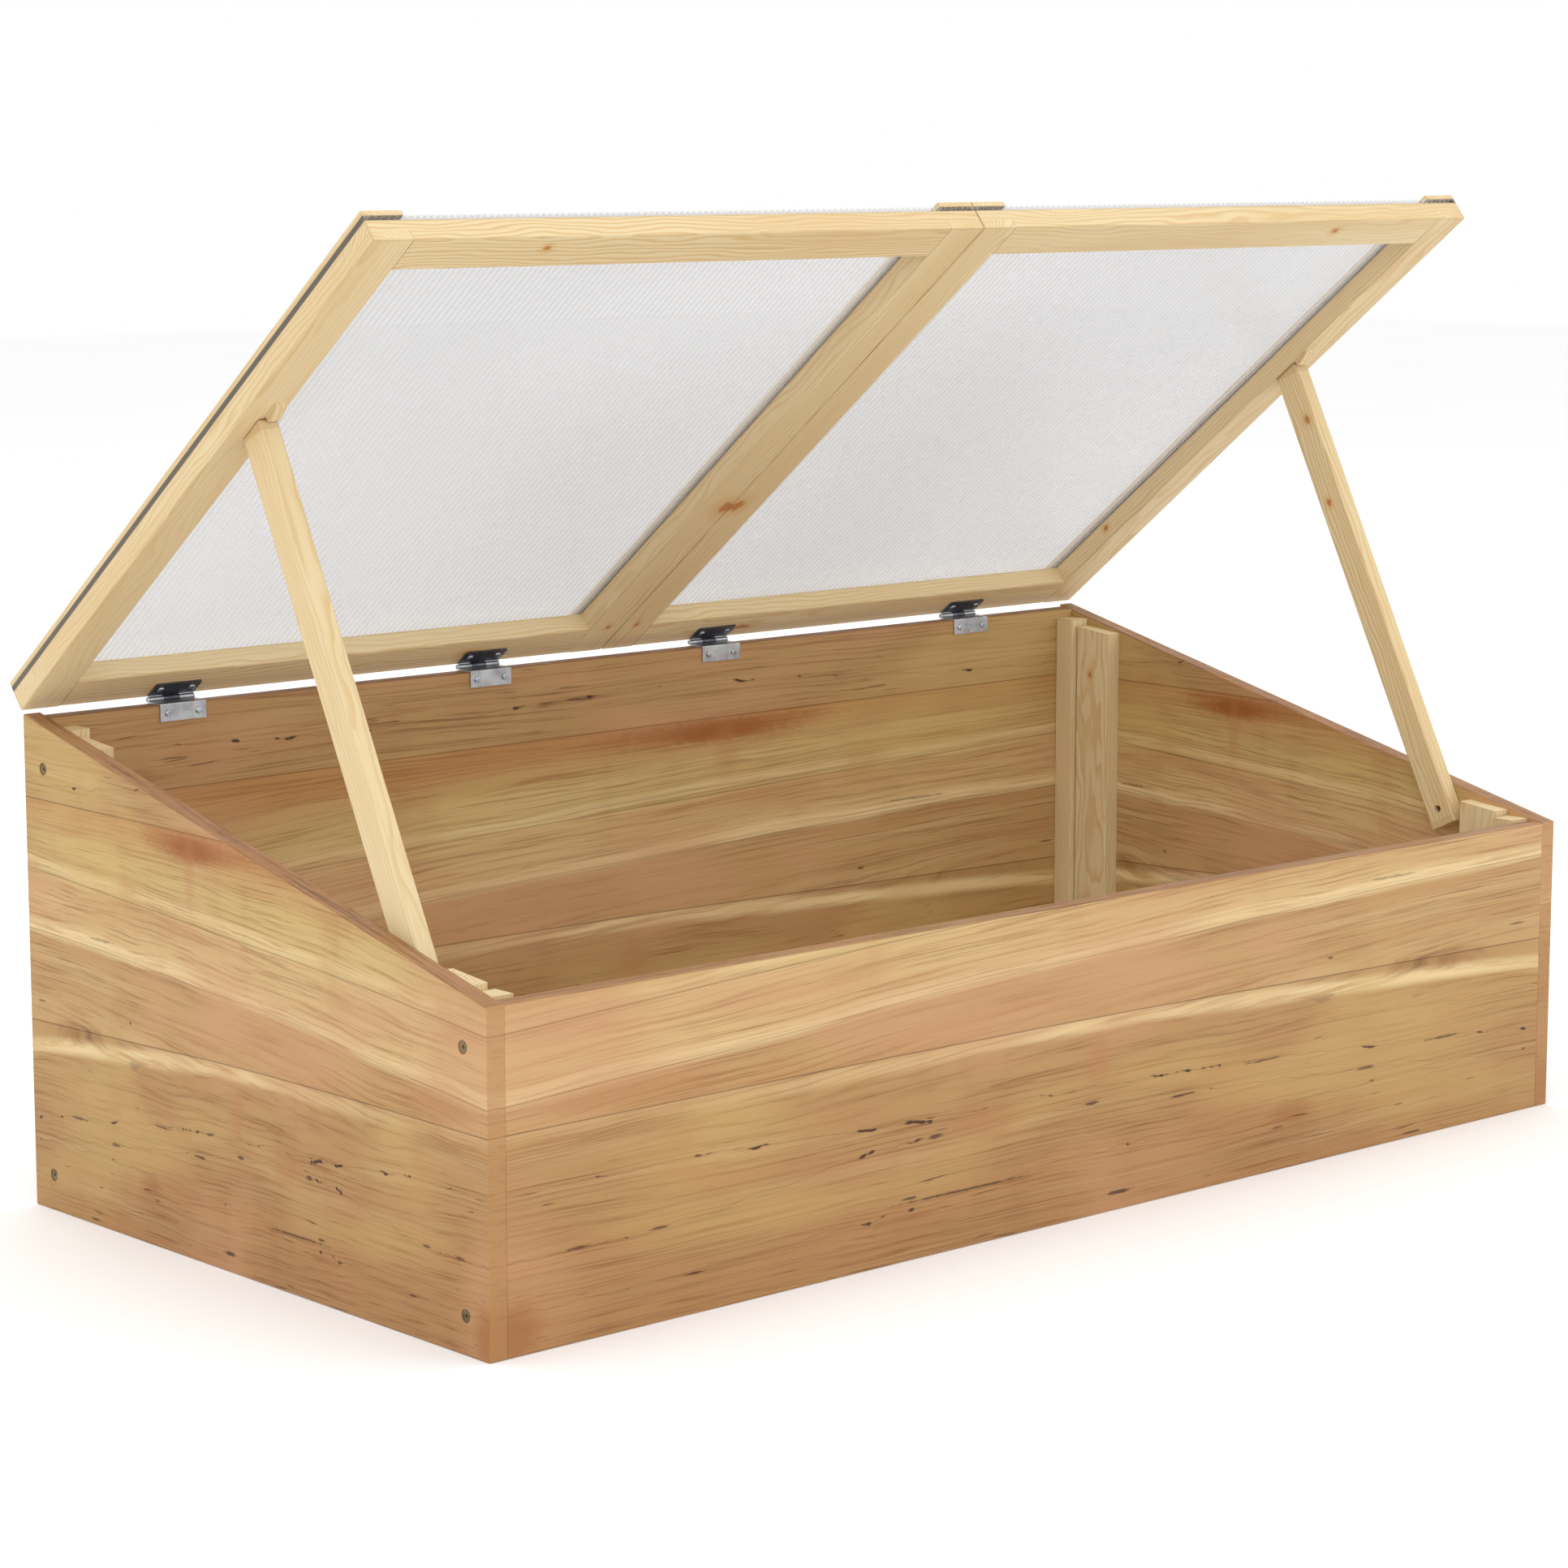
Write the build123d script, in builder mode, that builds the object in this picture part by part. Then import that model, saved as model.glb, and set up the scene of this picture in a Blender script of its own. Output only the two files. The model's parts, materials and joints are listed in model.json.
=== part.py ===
from build123d import *
from math import atan2, cos, hypot, radians, sin, tan
import os

# Two-lid wooden cold frame: a low box with no bottom, open to the soil, and two framed twin-wall
# lids hinged along its back, each held open by a prop bar that turns on the side panel.
# Millimetres. +X runs along the box, +Y to the back and +Z up. The origin is on the ground, in the
# middle of the ground covered by the frame with its lids propped.

os.makedirs("parts", exist_ok=True)

# Box
box_length = 1100.0
box_depth = 550.0
board = 15.0
front_height = 236.0
side_back_height = 369.0
back_height = 367.0
edge_break = 0.8

# Corner posts, and the flat cleats beside them on the side panels
post_size = 20.0
post_drop = 1.5
cleat_width = 38.0
cleat_thickness = 15.0
cleat_gap = 1.0
cleat_drop = 2.0
cleat_top_angle = 6.0

# Screws through the side panels into the posts, sunk in counterbores
side_screw_radius = 2.0
side_screw_head_radius = 4.6
side_screw_head_height = 2.6
side_screw_length = 26.0
side_bore_radius = 4.75
side_bore_depth = 3.2
side_screw_low = 26.5
side_screw_front_drop = 30.0
side_screw_back_drop = 38.0

# Lids
lid_open_angle = 38.2
seam_gap = 1.0
stile_width = 33.0
rail_width = 33.0
lid_frame_thickness = 16.0
sheet_thickness = 4.0
batten_thickness = 4.5

# Twin-wall sheet: two skins joined by zigzag webs, with triangular flutes from front to back
flute_pitch = 5.5
skin = 0.4
web = 0.3

# Screws down through the battens
batten_screw_radius = 1.5
batten_screw_head_radius = 3.0
batten_screw_length = 18.0
batten_screws_each = 4
batten_screw_end_margin = 60.0

# Hinges
leaf_thickness = 1.2
hinge_width = 41.0
hinge_spacing = 292.0
# The right lid's pair sits nearer the seam than the middle of its lid.
left_hinge_shift = 0.0
right_hinge_shift = -15.0
pin_radius = 1.0
pin_clearance = 0.05
knuckle_clearance = 0.3
hinge_setback = 1.2
box_leaf_drop = 12.5
lid_leaf_length = 18.5
leaf_screw_spacing = 27.5
leaf_screw_radius = 1.5
leaf_screw_head_radius = 2.7
leaf_screw_head_height = 1.5
leaf_screw_length = 10.0
leaf_hole_radius = 1.7
lid_leaf_screw_distance = 11.5
recess_width = 0.7
recess_length = 3.0
recess_depth = 0.8

# Props and stop blocks
prop_width = 25.0
prop_thickness = 14.5
prop_side_gap = 0.3
prop_pivot_back = 97.0
prop_pivot_drop = 22.0
prop_foot = 14.5
prop_seat = 356.5
prop_tip_gap = 0.4
prop_corner_radius = 3.0
prop_bore_radius = 3.1
prop_screw_clearance = 0.05
prop_screw_recess = 4.0
prop_screw_shank_radius = 2.0
prop_screw_grip = 12.0
stop_width = 10.0
stop_length = 16.0
stop_height = 4.5
stop_tail = 2.0
stop_gap = 0.6

wood_screw_clearance = 0.05
pilot_extra_depth = 0.5

# Derived positions
half_length = box_length / 2
inner_x = half_length - board
side_screw_in_post = side_screw_length - (board - side_bore_depth)
roof_rise = side_back_height - front_height
roof_slope = roof_rise / box_depth
lid_depth = hypot(box_depth, roof_rise)
lid_width = half_length - seam_gap / 2
knuckle_radius = pin_radius + pin_clearance + leaf_thickness
lid_lift = knuckle_radius + knuckle_clearance
sheet_level = lid_lift + lid_frame_thickness
batten_level = sheet_level + sheet_thickness
lid_top = batten_level + batten_thickness
lean = radians(lid_open_angle)
lid_overhang = hinge_setback + lid_top * sin(lean)
front_y = -(box_depth + lid_overhang) / 2
back_y = front_y + box_depth
hinge_y = back_y + hinge_setback
hinge_z = back_height + knuckle_radius + knuckle_clearance
hinge_point = Vector(0, hinge_y, hinge_z)
up_lid = Vector(0, -cos(lean), sin(lean))
out_of_lid = Vector(0, sin(lean), cos(lean))
# On this plane X is the world's, Y runs down the lid to its hinge and Z stands out of its top face.
lid_plane = Plane(origin=hinge_point, x_dir=(1, 0, 0), z_dir=out_of_lid)
# Across the flutes: X is the world's, Y stands out of the lid's top face and Z runs up the lid.
flute_plane = Plane(origin=hinge_point, x_dir=(1, 0, 0), z_dir=up_lid)


def roof_z(y):
    return front_height + (y - front_y) * roof_slope


def save(piece, name):
    piece.part.label = name
    export_step(piece.part, f"parts/{name}.step")


def side_sign(side):
    return -1 if side == "left" else 1


def lid_middle(side):
    return side_sign(side) * (seam_gap / 2 + lid_width / 2)


# Front and back panels, between the side panels

def make_end_panel(name, y_low, height, screw_planes):
    with BuildPart() as panel:
        with BuildSketch(Plane.XY):
            with Locations((0, y_low + board / 2)):
                Rectangle(2 * inner_x, board)
        extrude(amount=height)
        chamfer(panel.edges().filter_by(Axis.X).group_by(Axis.Z)[-1], edge_break)
        chamfer(panel.edges().filter_by(Axis.Z), edge_break / 2)
        if screw_planes:
            with Locations(*screw_planes):
                Hole(leaf_screw_radius + wood_screw_clearance, depth=leaf_screw_length + pilot_extra_depth)
    save(panel, name)


# Side panels, with a sloping top and a counterbored screw at the foot and head of each post

def side_screw_places():
    front_post_y = front_y + board + post_size / 2
    back_post_y = back_y - board - post_size / 2
    return [
        (front_post_y, side_screw_low),
        (front_post_y, front_height - side_screw_front_drop),
        (back_post_y, side_screw_low),
        (back_post_y, side_back_height - side_screw_back_drop),
    ]


def make_side_panel(side):
    sign = side_sign(side)
    outward = (sign, 0, 0)
    with BuildPart() as panel:
        with BuildSketch(Plane.YZ.offset(sign * half_length)):
            with BuildLine():
                Polyline(
                    (front_y, 0),
                    (back_y, 0),
                    (back_y, side_back_height),
                    (front_y, front_height),
                    close=True,
                )
            make_face()
        extrude(amount=-sign * board)
        chamfer(panel.faces().sort_by(Axis.Z)[-1].edges().filter_by(Axis.X, reverse=True), edge_break)
        chamfer(panel.edges().filter_by(Axis.Z).group_by(Axis.Y)[0], edge_break / 2)
        with Locations(*(Plane((sign * half_length, y, z), z_dir=outward) for y, z in side_screw_places())):
            CounterBoreHole(
                side_screw_radius + wood_screw_clearance,
                side_bore_radius,
                side_bore_depth,
                depth=board,
            )
        with Locations(Plane((sign * inner_x, prop_pivot_y, prop_pivot_z), z_dir=(-sign, 0, 0))):
            Hole(prop_screw_shank_radius + wood_screw_clearance, depth=prop_screw_grip + pilot_extra_depth)
    save(panel, f"{side}_side_panel")


def make_side_screws(side):
    sign = side_sign(side)
    head_x = half_length - side_bore_depth
    with BuildPart() as screws:
        for y, z in side_screw_places():
            with BuildSketch(Plane((sign * head_x, y, z), z_dir=(sign, 0, 0))):
                Circle(side_screw_head_radius)
            extrude(amount=side_screw_head_height)
            with BuildSketch(Plane((sign * head_x, y, z), z_dir=(-sign, 0, 0))):
                Circle(side_screw_radius)
            extrude(amount=side_screw_length)
        for y, z in side_screw_places():
            head_top = Plane((sign * (head_x + side_screw_head_height), y, z), z_dir=(sign, 0, 0))
            with BuildSketch(head_top):
                Rectangle(recess_length, recess_width)
                Rectangle(recess_width, recess_length)
            extrude(amount=-recess_depth, mode=Mode.SUBTRACT)
    save(screws, f"{side}_side_screws")


# Square corner posts, in the four inside corners

def make_post(end, side):
    sign = side_sign(side)
    low_y = front_y + board if end == "front" else back_y - board - post_size
    mid_y = low_y + post_size / 2
    with BuildPart() as post:
        with BuildSketch(Plane.XY):
            with Locations((sign * (inner_x - post_size / 2), mid_y)):
                Rectangle(post_size, post_size)
        extrude(amount=roof_z(low_y) - post_drop)
        chamfer(post.edges().filter_by(Axis.Z), edge_break)
        with Locations(*(
            Plane((sign * inner_x, y, z), z_dir=(sign, 0, 0))
            for y, z in side_screw_places() if abs(y - mid_y) < post_size / 2
        )):
            Hole(side_screw_radius + wood_screw_clearance, depth=side_screw_in_post + pilot_extra_depth)
    save(post, f"{end}_{side}_post")


# Flat cleats on the side panels, next to the posts, with their tops cut at a shallow angle

def make_cleat(end, side):
    sign = side_sign(side)
    if end == "front":
        low_y = front_y + board + post_size + cleat_gap
    else:
        low_y = back_y - board - post_size - cleat_gap - cleat_width
    high_y = low_y + cleat_width
    low_top = roof_z(low_y) - cleat_drop
    high_top = low_top + cleat_width * tan(radians(cleat_top_angle))
    with BuildPart() as cleat:
        with BuildSketch(Plane.YZ.offset(sign * inner_x)):
            with BuildLine():
                Polyline((low_y, 0), (high_y, 0), (high_y, high_top), (low_y, low_top), close=True)
            make_face()
        extrude(amount=-sign * cleat_thickness)
        inner_face = cleat.faces().filter_by(Axis.X).sort_by(Axis.X)[0 if sign > 0 else -1]
        chamfer(inner_face.edges().filter_by(Axis.Z), edge_break)
    save(cleat, f"{end}_{side}_cleat")


# Hinges: the box leaf lies over the back panel's top edge and turns down its inside face

def hinge_places(side):
    shift = left_hinge_shift if side == "left" else right_hinge_shift
    middle = lid_middle(side) + shift
    return [middle - hinge_spacing / 2, middle + hinge_spacing / 2]


def knuckle_plane(x_low):
    return Plane((x_low, hinge_y, hinge_z), x_dir=(0, 1, 0), z_dir=(1, 0, 0))


def box_leaf_screw_planes(sides=("left", "right")):
    mid_z = back_height - box_leaf_drop / 2
    return [
        Plane((x + step * leaf_screw_spacing / 2, back_y - board, mid_z), z_dir=(0, -1, 0))
        for side in sides
        for x in hinge_places(side)
        for step in (-1, 1)
    ]


def lid_leaf_screw_planes(side):
    spots = [
        (x + step * leaf_screw_spacing / 2, -lid_leaf_screw_distance, lid_lift)
        for x in hinge_places(side)
        for step in (-1, 1)
    ]
    return [
        Plane(lid_plane.from_local_coords(spot), x_dir=(1, 0, 0), z_dir=-out_of_lid) for spot in spots
    ]


def leaf_hole_planes(screw_planes, x):
    return [plane.offset(leaf_thickness) for plane in screw_planes if abs(plane.origin.X - x) < hinge_width]


def make_box_leaf(side, number, x):
    knuckle = hinge_width / 3
    inside_y = back_y - board
    with BuildPart() as leaf:
        with BuildSketch(Plane.YZ.offset(x - hinge_width / 2)):
            with BuildLine():
                Polyline(
                    (inside_y, back_height - box_leaf_drop),
                    (inside_y, back_height),
                    (hinge_y, back_height),
                    (hinge_y, back_height + leaf_thickness),
                    (inside_y - leaf_thickness, back_height + leaf_thickness),
                    (inside_y - leaf_thickness, back_height - box_leaf_drop),
                    close=True,
                )
            make_face()
        extrude(amount=hinge_width)
        outside_bend = leaf.edges().filter_by(Axis.X).group_by(Axis.Y)[0].sort_by(Axis.Z)[-1]
        fillet(outside_bend, leaf_thickness)
        for low in (x - hinge_width / 2, x + hinge_width / 2 - knuckle + knuckle_clearance):
            with BuildSketch(knuckle_plane(low)):
                Circle(knuckle_radius)
            extrude(amount=knuckle - knuckle_clearance)
        with BuildSketch(knuckle_plane(x - hinge_width / 2)):
            Circle(pin_radius + pin_clearance)
        extrude(amount=hinge_width, mode=Mode.SUBTRACT)
        with BuildSketch(Plane.XY.offset(back_height)):
            with Locations((x, hinge_y)):
                Rectangle(knuckle + 2 * knuckle_clearance, 2 * lid_lift)
        extrude(amount=2 * lid_lift, mode=Mode.SUBTRACT)
        with Locations(*leaf_hole_planes(box_leaf_screw_planes(), x)):
            Hole(leaf_hole_radius, depth=leaf_thickness)
    save(leaf, f"{side}_hinge_{number}_box_leaf")


def make_lid_leaf(side, number, x):
    knuckle = hinge_width / 3
    with BuildPart() as leaf:
        with BuildSketch(lid_plane.offset(lid_lift - leaf_thickness)):
            with Locations((x, -lid_leaf_length / 2)):
                Rectangle(hinge_width, lid_leaf_length)
        extrude(amount=leaf_thickness)
        chamfer(leaf.edges().filter_by(Axis((0, 0, 0), out_of_lid)).group_by(Axis.Z)[-1], leaf_thickness)
        with BuildSketch(lid_plane.offset(lid_lift - leaf_thickness)):
            with Locations((x - knuckle, 0), (x + knuckle, 0)):
                Rectangle(knuckle, 2 * lid_lift)
        extrude(amount=leaf_thickness, mode=Mode.SUBTRACT)
        with BuildSketch(knuckle_plane(x - knuckle / 2)):
            Circle(knuckle_radius)
        extrude(amount=knuckle)
        with BuildSketch(knuckle_plane(x - knuckle / 2)):
            Circle(pin_radius + pin_clearance)
        extrude(amount=knuckle, mode=Mode.SUBTRACT)
        with Locations(*leaf_hole_planes(lid_leaf_screw_planes(side), x)):
            Hole(leaf_hole_radius, depth=leaf_thickness)
    save(leaf, f"{side}_hinge_{number}_lid_leaf")


def make_hinge_pin(side, number, x):
    with BuildPart() as pin:
        with BuildSketch(knuckle_plane(x - hinge_width / 2)):
            Circle(pin_radius)
        extrude(amount=hinge_width)
        chamfer(pin.edges(), pin_radius / 4)
    save(pin, f"{side}_hinge_{number}_pin")


# Domed screws: the plane lies on the wood and faces out of it, and the head bears on the leaf

def make_leaf_screws(name, planes):
    with BuildPart() as screws:
        for plane in planes:
            with BuildSketch(plane.offset(leaf_thickness)):
                Circle(leaf_screw_head_radius)
            extrude(amount=leaf_screw_head_height)
        rims = screws.edges().filter_by(GeomType.CIRCLE)
        seats = [plane.origin + plane.z_dir * (leaf_thickness + leaf_screw_head_height) for plane in planes]
        tops = [rim for rim in rims if any((rim.arc_center - seat).length < recess_width for seat in seats)]
        fillet(tops, leaf_screw_head_height * 0.8)
        for plane in planes:
            with BuildSketch(plane.offset(leaf_thickness)):
                Circle(leaf_screw_radius)
            extrude(amount=-leaf_screw_length)
            with BuildSketch(plane.offset(leaf_thickness + leaf_screw_head_height)):
                Rectangle(recess_length, recess_width)
                Rectangle(recess_width, recess_length)
            extrude(amount=-recess_depth, mode=Mode.SUBTRACT)
    save(screws, name)


# Lid frame: the stiles and rails are halved together at the corners, the rails on top

def stile_x(side, place):
    sign = side_sign(side)
    if place == "outer":
        return sign * (half_length - stile_width / 2)
    return sign * (seam_gap / 2 + stile_width / 2)


def batten_screw_spots(side, places=("outer", "inner")):
    count = batten_screws_each
    run = lid_depth - 2 * batten_screw_end_margin
    return [
        (stile_x(side, place), -batten_screw_end_margin - run * step / (count - 1))
        for place in places
        for step in range(count)
    ]


def make_stile(side, place):
    half = lid_frame_thickness / 2
    with BuildPart() as stile:
        with BuildSketch(lid_plane.offset(lid_lift)):
            with Locations((stile_x(side, place), -lid_depth / 2)):
                Rectangle(stile_width, lid_depth)
        extrude(amount=lid_frame_thickness)
        long_way = Axis((0, 0, 0), up_lid)
        chamfer(stile.edges().filter_by(long_way).group_by(Axis((0, 0, 0), out_of_lid))[0], edge_break)
        with BuildSketch(lid_plane.offset(lid_lift + half)):
            with Locations(
                (stile_x(side, place), -rail_width / 2),
                (stile_x(side, place), rail_width / 2 - lid_depth),
            ):
                Rectangle(stile_width, rail_width)
        extrude(amount=half, mode=Mode.SUBTRACT)
        with Locations(*(
            Plane(lid_plane.from_local_coords((x, y, sheet_level)), x_dir=(1, 0, 0), z_dir=out_of_lid)
            for x, y in batten_screw_spots(side, (place,))
        )):
            Hole(
                batten_screw_radius + wood_screw_clearance,
                depth=batten_screw_length - batten_thickness - sheet_thickness + pilot_extra_depth,
            )
    save(stile, f"{side}_lid_{place}_stile")


def make_rail(side, place):
    half = lid_frame_thickness / 2
    middle = -rail_width / 2 if place == "rear" else rail_width / 2 - lid_depth
    with BuildPart() as rail:
        with BuildSketch(lid_plane.offset(lid_lift)):
            with Locations((lid_middle(side), middle)):
                Rectangle(lid_width, rail_width)
        extrude(amount=lid_frame_thickness)
        chamfer(rail.edges().filter_by(Axis.X).group_by(Axis((0, 0, 0), out_of_lid))[0], edge_break)
        with BuildSketch(lid_plane.offset(lid_lift)):
            with Locations((stile_x(side, "outer"), middle), (stile_x(side, "inner"), middle)):
                Rectangle(stile_width, rail_width)
        extrude(amount=half, mode=Mode.SUBTRACT)
        if place == "rear":
            with Locations(*lid_leaf_screw_planes(side)):
                Hole(leaf_screw_radius + wood_screw_clearance, depth=leaf_screw_length + pilot_extra_depth)
    save(rail, f"{side}_lid_{place}_rail")


def make_sheet(side):
    inner_height = sheet_thickness - 2 * skin
    web_across = web / sin(atan2(inner_height, flute_pitch / 2))
    half_base = (flute_pitch - web_across) / 2
    apex = inner_height * (1 - web_across / flute_pitch) - inner_height / 2
    foot = -inner_height / 2
    upright_count = int((lid_width - 2 * skin) / flute_pitch)
    middle = sheet_level + sheet_thickness / 2
    with BuildPart() as sheet:
        with BuildSketch(flute_plane):
            with Locations((lid_middle(side), middle)):
                Rectangle(lid_width, sheet_thickness)
                with GridLocations(flute_pitch, 0, upright_count, 1):
                    Polygon((-half_base, foot), (half_base, foot), (0, apex), align=None, mode=Mode.SUBTRACT)
                with GridLocations(flute_pitch, 0, upright_count - 1, 1):
                    Polygon(
                        (half_base, -foot), (-half_base, -foot), (0, -apex), align=None, mode=Mode.SUBTRACT
                    )
        extrude(amount=lid_depth)
        with BuildSketch(lid_plane.offset(sheet_level)):
            with Locations(*batten_screw_spots(side)):
                Circle(batten_screw_radius + wood_screw_clearance)
        extrude(amount=sheet_thickness, mode=Mode.SUBTRACT)
    save(sheet, f"{side}_lid_sheet")


def make_batten(side, place):
    with BuildPart() as batten:
        with BuildSketch(lid_plane.offset(batten_level)):
            with Locations((stile_x(side, place), -lid_depth / 2)):
                Rectangle(stile_width, lid_depth)
        extrude(amount=batten_thickness)
        top_edges = batten.faces().sort_by(Axis((0, 0, 0), out_of_lid))[-1].edges()
        chamfer(top_edges, edge_break)
        with Locations(*(
            Plane(lid_plane.from_local_coords((x, y, lid_top)), x_dir=(1, 0, 0), z_dir=out_of_lid)
            for x, y in batten_screw_spots(side, (place,))
        )):
            CounterSinkHole(
                batten_screw_radius + wood_screw_clearance,
                batten_screw_head_radius + wood_screw_clearance,
                depth=batten_thickness,
            )
    save(batten, f"{side}_lid_{place}_batten")


def make_batten_screws(side):
    cone = batten_screw_head_radius - batten_screw_radius
    with BuildPart() as screws:
        for x, y in batten_screw_spots(side):
            point = lid_plane.from_local_coords((x, y, lid_top))
            across = Plane(point, x_dir=(1, 0, 0), z_dir=up_lid)
            with BuildSketch(across):
                with BuildLine():
                    Polyline(
                        (0, 0),
                        (batten_screw_head_radius, 0),
                        (batten_screw_radius, -cone),
                        (batten_screw_radius, -batten_screw_length),
                        (0, -batten_screw_length),
                        close=True,
                    )
                make_face()
            revolve(axis=Axis(point, out_of_lid), revolution_arc=360)
            with BuildSketch(Plane(point, x_dir=(1, 0, 0), z_dir=out_of_lid)):
                Rectangle(recess_length, recess_width)
                Rectangle(recess_width, recess_length)
            extrude(amount=-recess_depth, mode=Mode.SUBTRACT)
    save(screws, f"{side}_lid_batten_screws")


# Props: the centreline runs from the pivot to the seat on the outer stile's underside

prop_pivot_y = front_y + prop_pivot_back
prop_pivot_z = roof_z(prop_pivot_y) - prop_pivot_drop
seat_point = lid_plane.from_local_coords((0, -prop_seat, lid_lift - prop_tip_gap))
prop_angle = atan2(seat_point.Z - prop_pivot_z, seat_point.Y - prop_pivot_y)
prop_reach = hypot(seat_point.Z - prop_pivot_z, seat_point.Y - prop_pivot_y)
prop_off_square = lean + prop_angle - radians(90)
prop_outer_x = inner_x - prop_side_gap
prop_inner_x = prop_outer_x - prop_thickness
# Half the length of the slanting cut at the prop's top, measured on the stile
prop_seat_half = prop_width / 2 / cos(prop_off_square)


def make_prop(side):
    sign = side_sign(side)
    skew = prop_width / 2 * tan(prop_off_square)
    prop_plane = Plane(
        (sign * prop_outer_x, prop_pivot_y, prop_pivot_z),
        x_dir=(0, cos(prop_angle), sin(prop_angle)),
        z_dir=(1, 0, 0),
    )
    half = prop_width / 2
    with BuildPart() as prop:
        with BuildSketch(prop_plane):
            with BuildLine():
                Polyline(
                    (-prop_foot, -half),
                    (prop_reach - skew, -half),
                    (prop_reach + skew, half),
                    (-prop_foot, half),
                    close=True,
                )
            make_face()
            tip = vertices().sort_by_distance((prop_reach + skew, half))[0]
            fillet(tip, prop_corner_radius)
        extrude(amount=-sign * prop_thickness)
        along = Axis((0, 0, 0), (0, cos(prop_angle), sin(prop_angle)))
        chamfer(prop.edges().filter_by(along), edge_break)
        with Locations(Plane(prop_plane.origin, z_dir=(sign, 0, 0))):
            Hole(prop_bore_radius, depth=prop_thickness)
    save(prop, f"{side}_prop")


def make_prop_screw(side):
    sign = side_sign(side)
    wall = Plane((sign * inner_x, prop_pivot_y, prop_pivot_z), z_dir=(-sign, 0, 0))
    barrel = prop_side_gap + prop_thickness - prop_screw_recess
    with BuildPart() as screw:
        with BuildSketch(wall):
            Circle(prop_bore_radius - prop_screw_clearance)
        extrude(amount=barrel)
        with BuildSketch(wall):
            Circle(prop_screw_shank_radius)
        extrude(amount=-prop_screw_grip)
        with BuildSketch(wall.offset(barrel)):
            Rectangle(recess_length, recess_width)
            Rectangle(recess_width, recess_length)
        extrude(amount=-recess_depth, mode=Mode.SUBTRACT)
    save(screw, f"{side}_prop_screw")


# Stop blocks: small wedges on the stiles, just in front of the props' tips

def make_stop_block(side):
    sign = side_sign(side)
    start = prop_seat + prop_seat_half + stop_gap
    inner_edge = prop_inner_x if sign > 0 else -prop_inner_x
    block_plane = Plane(
        lid_plane.from_local_coords((inner_edge, 0, lid_lift)),
        x_dir=up_lid,
        z_dir=(1, 0, 0),
    )
    depth_way = -1 if block_plane.y_dir.dot(out_of_lid) > 0 else 1
    with BuildPart() as block:
        with BuildSketch(block_plane):
            with BuildLine():
                Polyline(
                    (start, 0),
                    (start, depth_way * stop_height),
                    (start + stop_length - stop_tail, depth_way * stop_tail),
                    (start + stop_length, 0),
                    close=True,
                )
            make_face()
        extrude(amount=sign * stop_width)
    save(block, f"{side}_lid_stop_block")


make_end_panel("front_panel", front_y, front_height, [])
make_end_panel("back_panel", back_y - board, back_height, box_leaf_screw_planes())
make_leaf_screws("box_leaf_screws", box_leaf_screw_planes())

for side in ("left", "right"):
    make_side_panel(side)
    make_side_screws(side)
    for end in ("front", "back"):
        make_post(end, side)
        make_cleat(end, side)
    for number, x in enumerate(hinge_places(side), start=1):
        make_box_leaf(side, number, x)
        make_lid_leaf(side, number, x)
        make_hinge_pin(side, number, x)
    make_leaf_screws(f"{side}_lid_leaf_screws", lid_leaf_screw_planes(side))
    for place in ("outer", "inner"):
        make_stile(side, place)
        make_batten(side, place)
    for place in ("rear", "front"):
        make_rail(side, place)
    make_sheet(side)
    make_batten_screws(side)
    make_prop(side)
    make_prop_screw(side)
    make_stop_block(side)
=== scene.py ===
import json
import math

import bpy
from mathutils import Matrix, Vector


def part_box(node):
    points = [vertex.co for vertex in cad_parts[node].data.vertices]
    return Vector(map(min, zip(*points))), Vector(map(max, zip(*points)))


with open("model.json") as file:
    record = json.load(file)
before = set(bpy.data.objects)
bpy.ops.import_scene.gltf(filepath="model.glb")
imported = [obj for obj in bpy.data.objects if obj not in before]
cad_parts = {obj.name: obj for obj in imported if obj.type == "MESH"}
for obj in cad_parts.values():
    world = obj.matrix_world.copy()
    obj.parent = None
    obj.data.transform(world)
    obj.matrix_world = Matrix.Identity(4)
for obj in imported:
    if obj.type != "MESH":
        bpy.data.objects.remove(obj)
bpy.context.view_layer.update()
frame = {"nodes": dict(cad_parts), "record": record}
scene = bpy.context.scene
joints = {joint["name"]: joint for joint in frame["record"]["behaviour"]["joints"]}
print("cold frame: packed parts loaded")

# small helpers for shader trees


def shade(r, g, b):
    # a screen colour, 0 to 255, as the linear colour that the shader wants
    def channel(value):
        value = value / 255
        return value / 12.92 if value <= 0.04045 else ((value + 0.055) / 1.055) ** 2.4
    return (channel(r), channel(g), channel(b), 1.0)


def feed(tree, socket, value):
    if isinstance(value, bpy.types.NodeSocket):
        tree.links.new(value, socket)
    elif value is not None:
        socket.default_value = value


def calc(tree, operation, a, b=None, c=None):
    node = tree.nodes.new("ShaderNodeMath")
    node.operation = operation
    for socket, value in zip(node.inputs, (a, b, c)):
        feed(tree, socket, value)
    return node.outputs[0]


def vectorCalc(tree, operation, a, b=None):
    node = tree.nodes.new("ShaderNodeVectorMath")
    node.operation = operation
    feed(tree, node.inputs[0], a)
    feed(tree, node.inputs[1], b)
    return node.outputs["Value" if operation == "LENGTH" else "Vector"]


def fade(tree, value, low, high, start=0.0, end=1.0):
    node = tree.nodes.new("ShaderNodeMapRange")
    node.interpolation_type = "SMOOTHSTEP"
    for socket, number in zip(node.inputs, (value, low, high, start, end)):
        feed(tree, socket, number)
    return node.outputs[0]


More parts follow.
